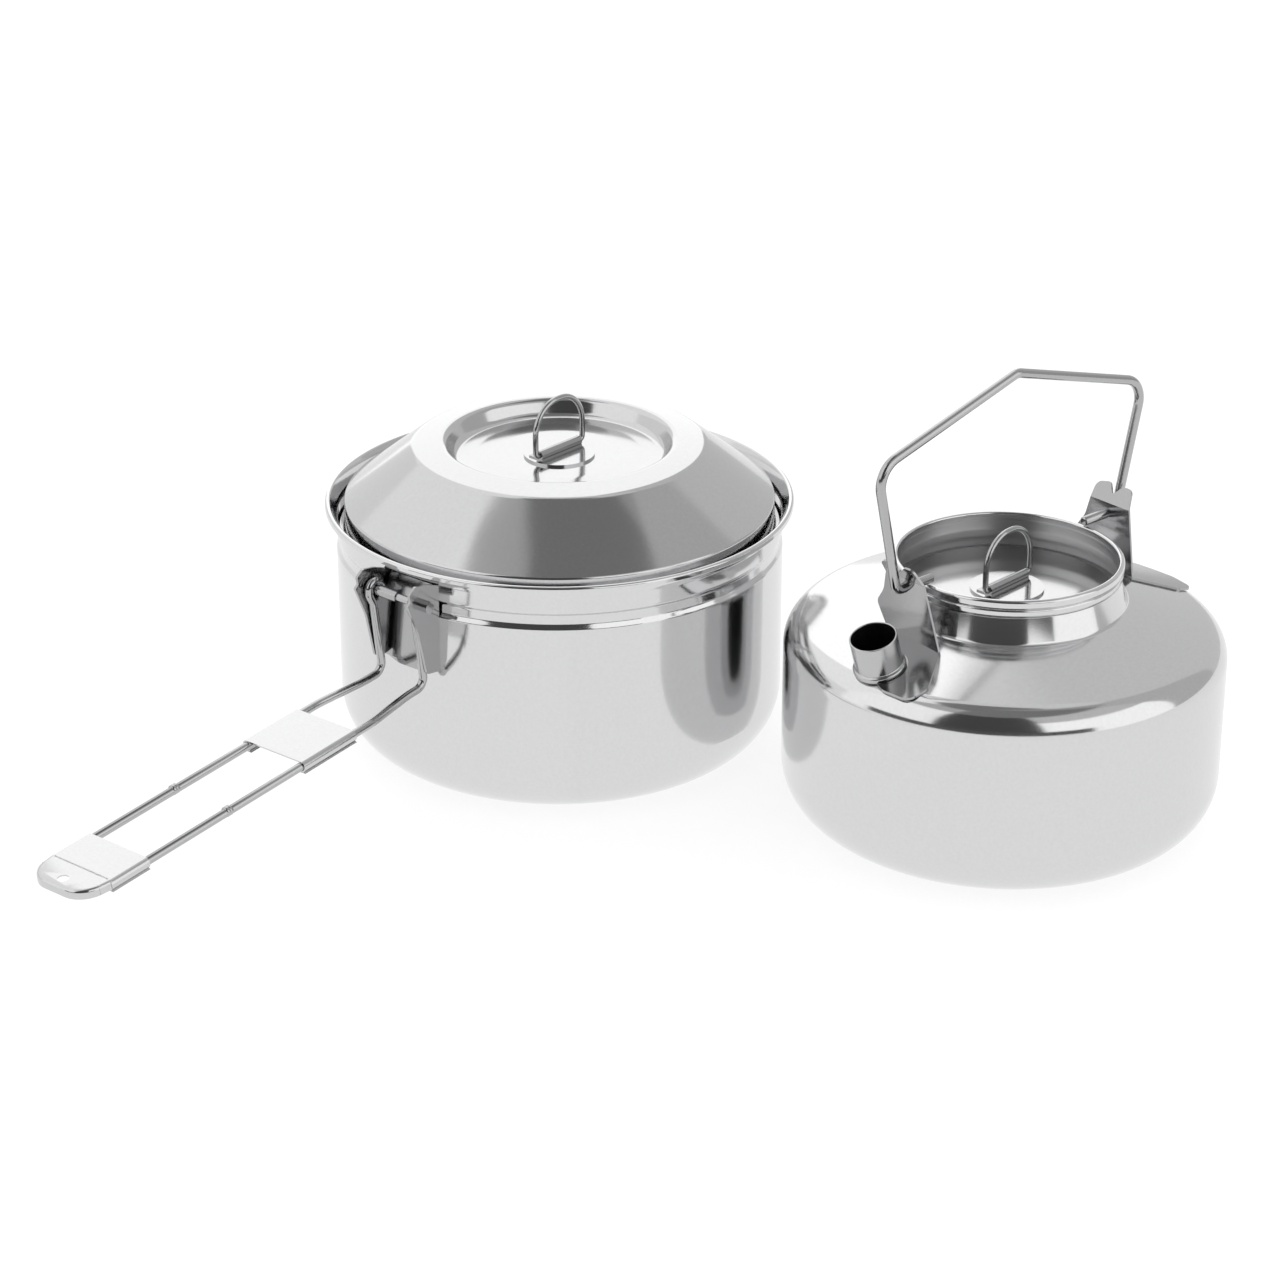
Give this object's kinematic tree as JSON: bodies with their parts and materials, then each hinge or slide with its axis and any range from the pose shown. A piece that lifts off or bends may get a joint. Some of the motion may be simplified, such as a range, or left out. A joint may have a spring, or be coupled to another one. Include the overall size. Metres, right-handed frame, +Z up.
{
  "type": "camping cook pot set",
  "caption": "Polished stainless camp pot with folding wire handle and domed ring lid, beside a squat kettle with swinging wire bail, stub spout and inner lid.",
  "frame": {"origin": "middle of the pot's flat base, on the surface it stands on", "axes": "+Z up; the pot's folding handle points to -X; the kettle stands beside the pot, towards -Y"},
  "size_m": [0.3719, 0.3227, 0.1644],
  "materials": {
    "pot_steel": "polished stainless sheet",
    "lid_steel": "polished stainless sheet",
    "kettle_steel": "polished stainless sheet",
    "spout_steel": "brushed stainless tube",
    "bracket_steel": "satin stainless sheet",
    "grip_steel": "polished stainless sheet",
    "wire_steel": "polished stainless wire"
  },
  "bodies": {
    "pot": {"pot_body": "pot_steel", "handle_bracket": "bracket_steel", "hinge_pin": "wire_steel", "hinge_spacer": "bracket_steel"},
    "pot_handle": {"handle_wire_left": "wire_steel", "handle_wire_right": "wire_steel", "handle_grip": "grip_steel"},
    "slider": {"lock_slider": "grip_steel"},
    "pot_cover": {"pot_lid": "lid_steel", "pot_lid_ring_plate": "lid_steel", "pot_lid_ring_clip": "bracket_steel"},
    "pot_cover_ring": {"pot_lid_ring": "wire_steel"},
    "kettle": {"kettle_body": "kettle_steel", "kettle_spout": "spout_steel", "bail_bracket_near": "bracket_steel", "bail_bracket_far": "bracket_steel"},
    "bail": {"kettle_bail": "wire_steel"},
    "kettle_cover": {"kettle_lid": "lid_steel", "kettle_lid_ring_plate": "lid_steel", "kettle_lid_ring_clip": "bracket_steel"},
    "kettle_cover_ring": {"kettle_lid_ring": "wire_steel"}
  },
  "joints": [
    {"name": "handle_fold", "type": "hinge", "parent": "pot", "child": "pot_handle", "pos_m": [-0.0875, 0, 0.082], "axis": [0, -1, 0], "range_deg": [-179.5, 0]},
    {"name": "slider_slide", "type": "slide", "parent": "pot_handle", "child": "slider", "axis": [-0.9965, 0, -0.0837], "range_m": [-0.006, 0.031]},
    {"name": "pot_lid_lift", "type": "slide", "parent": "pot", "child": "pot_cover", "axis": [0, 0, 1], "range_m": [0, 0.06]},
    {"name": "pot_lid_ring_fold", "type": "hinge", "parent": "pot_cover", "child": "pot_cover_ring", "pos_m": [0, 0, 0.10995], "axis": [0.9988, -0.0489, 0], "range_deg": [-88, 88]},
    {"name": "kettle_lift", "type": "slide", "parent": "pot", "child": "kettle", "axis": [0, 0, 1], "range_m": [0, 0.12]},
    {"name": "bail_swing", "type": "hinge", "parent": "kettle", "child": "bail", "pos_m": [0.046, -0.162, 0.09885], "axis": [0.9839, -0.1788, 0], "range_deg": [-105, 105]},
    {"name": "kettle_lid_lift", "type": "slide", "parent": "kettle", "child": "kettle_cover", "axis": [0, 0, 1], "range_m": [0, 0.04]},
    {"name": "kettle_lid_ring_fold", "type": "hinge", "parent": "kettle_cover", "child": "kettle_cover_ring", "pos_m": [0.046, -0.162, 0.08675], "axis": [0.9971, -0.0767, 0], "range_deg": [-88, 88]}
  ]
}
